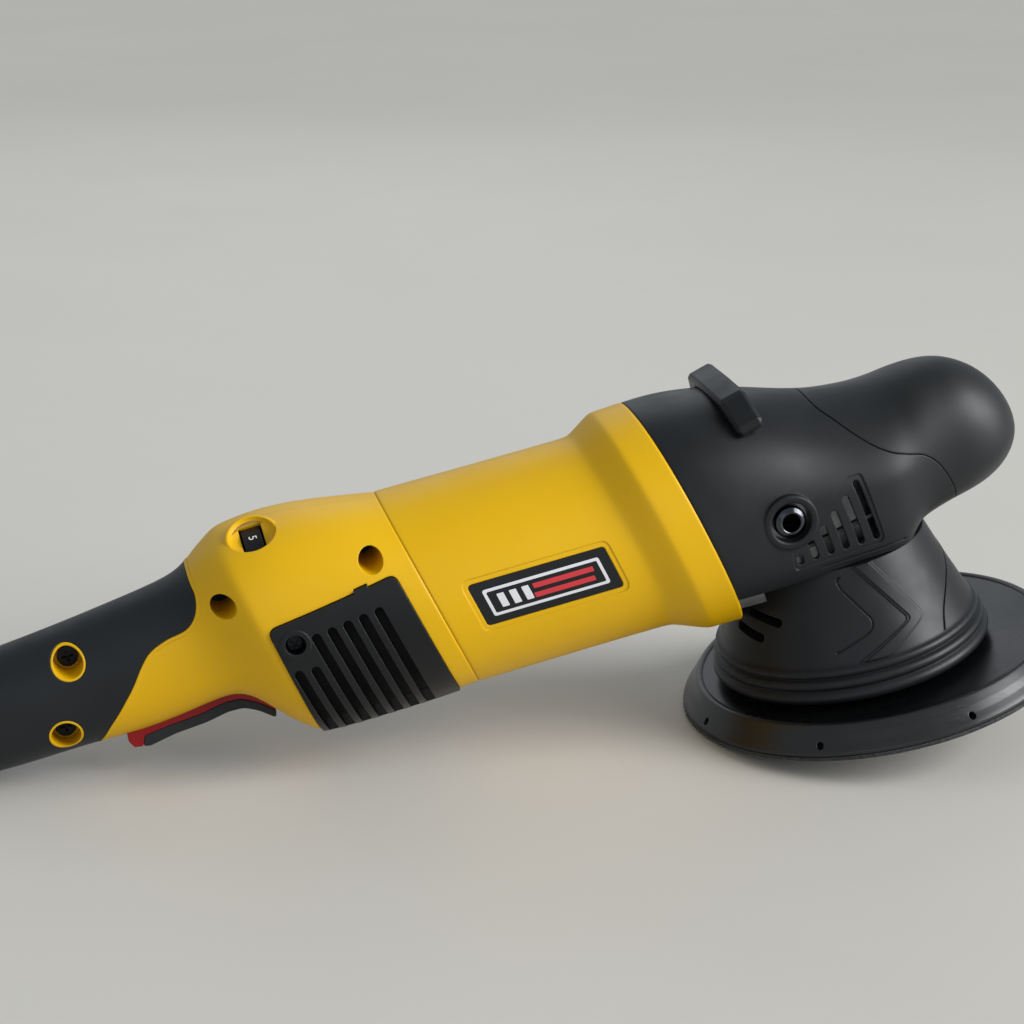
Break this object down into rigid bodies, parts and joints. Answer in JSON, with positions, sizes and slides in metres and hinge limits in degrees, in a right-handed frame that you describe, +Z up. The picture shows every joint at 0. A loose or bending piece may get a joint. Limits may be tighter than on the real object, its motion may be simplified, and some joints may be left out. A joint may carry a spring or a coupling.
{
  "type": "dual action polisher",
  "caption": "Long-throw dual action polisher with barrel motor, trigger handle, side handle threads, bevel-driven eccentric and free-turning backing plate.",
  "frame": {"origin": "on the table, under the middle of the whole tool's length and width", "axes": "+X towards the head along the table, +Z up from the table; the tool stands on the rear rim of its plate and the end of its handle, so the spindle leans back"},
  "size_m": [0.4398, 0.15, 0.1412],
  "materials": {
    "yellow_plastic": "satin moulded plastic",
    "black_plastic": "fine-textured moulded plastic",
    "badge": "gloss printed badge",
    "black_rubber": "soft-touch rubber",
    "plate_foam": "smooth moulded urethane",
    "hook_fabric": "hook tape",
    "red_plastic": "satin moulded plastic",
    "trigger_rubber": "soft rubber",
    "board": "circuit board",
    "screw_steel": "black oxide",
    "bright_steel": "ground",
    "bush_steel": "polished dark steel",
    "white_plastic": "plain",
    "core_steel": "stacked laminations",
    "copper": "copper",
    "brass": "brass",
    "carbon": "pressed carbon",
    "cast_aluminium": "die cast",
    "cast_iron": "machined casting"
  },
  "bodies": {
    "root": {"motor_housing": "yellow_plastic", "handle_shell_right": "yellow_plastic", "handle_shell_left": "yellow_plastic", "rear_collar": "black_plastic", "brush_cover_right": "black_plastic", "brush_cover_left": "black_plastic", "head_cover": "black_plastic", "fan_baffle": "black_plastic", "switch_body": "black_plastic", "brush_frame": "black_plastic", "cord_clamp": "black_plastic", "rest_bumper": "black_plastic", "label_right": "badge", "label_left": "badge", "grip_skin_right": "black_rubber", "grip_skin_left": "black_rubber", "front_grip": "black_rubber", "shroud": "black_rubber", "speed_board": "board", "housing_screws": "screw_steel", "brush_cover_screws": "screw_steel", "bearing_plate_screws": "screw_steel", "flange_screws": "screw_steel", "trigger_pin": "bright_steel", "rear_bearing": "bright_steel", "front_bearing": "bright_steel", "brush_spring_right": "bright_steel", "brush_spring_left": "bright_steel", "upper_bearing": "bright_steel", "lower_bearing": "bright_steel", "handle_bush_right": "bush_steel", "handle_bush_left": "bush_steel", "stator_core": "core_steel", "field_coils": "copper", "brush_holder_right": "brass", "brush_holder_left": "brass", "carbon_brush_right": "carbon", "carbon_brush_left": "carbon", "gear_case": "cast_aluminium", "bearing_plate": "cast_aluminium"},
    "plate": {"plate_shaft": "bright_steel", "plate_bolt": "screw_steel", "backing_plate": "plate_foam", "hook_face": "hook_fabric"},
    "drive_spindle": {"spindle": "bright_steel", "bevel_gear": "bright_steel", "eccentric": "cast_iron", "plate_bearings": "bright_steel"},
    "rotor": {"armature_shaft": "bright_steel", "armature_core": "core_steel", "armature_windings": "copper", "commutator": "copper", "cooling_fan": "black_plastic", "drive_pinion": "bright_steel"},
    "trigger": {"trigger": "red_plastic", "trigger_pad": "trigger_rubber"},
    "plunger": {"switch_plunger": "white_plastic"},
    "dial": {"speed_dial": "black_plastic"}
  },
  "joints": [
    {"name": "spindle_spin", "type": "hinge", "parent": "root", "child": "drive_spindle", "pos_m": [0.12594, 0, 0.07369], "axis": [-0.2258, 0, 0.9742], "continuous": true},
    {"name": "plate_spin", "type": "hinge", "parent": "drive_spindle", "child": "plate", "pos_m": [0.14228, 0, 0.03642], "axis": [-0.2258, 0, 0.9742], "continuous": true},
    {"name": "motor_spin", "type": "hinge", "parent": "root", "child": "rotor", "pos_m": [0.02287, 0, 0.07547], "axis": [0.9742, 0, 0.2258], "continuous": true},
    {"name": "trigger_pull", "type": "hinge", "parent": "root", "child": "trigger", "pos_m": [-0.13652, 0, 0.02353], "axis": [0, -1, 0], "range_deg": [0, 7], "stiffness_Nm_per_rad": 0.6, "springref_deg": -6.88},
    {"name": "plunger_slide", "type": "slide", "parent": "root", "child": "plunger", "axis": [-0.2258, 0, 0.9742], "range_m": [0, 0.0038]},
    {"name": "speed_dial_turn", "type": "hinge", "parent": "root", "child": "dial", "pos_m": [-0.09186, -0.0065, 0.0811], "axis": [0.9742, 0, 0.2258], "range_deg": [-75, 75]}
  ],
  "couplings": [
    {"joint": "motor_spin", "follows": "spindle_spin", "ratio": -3},
    {"joint": "plunger_slide", "follows": "trigger_pull", "m_per_rad": 0.029}
  ]
}
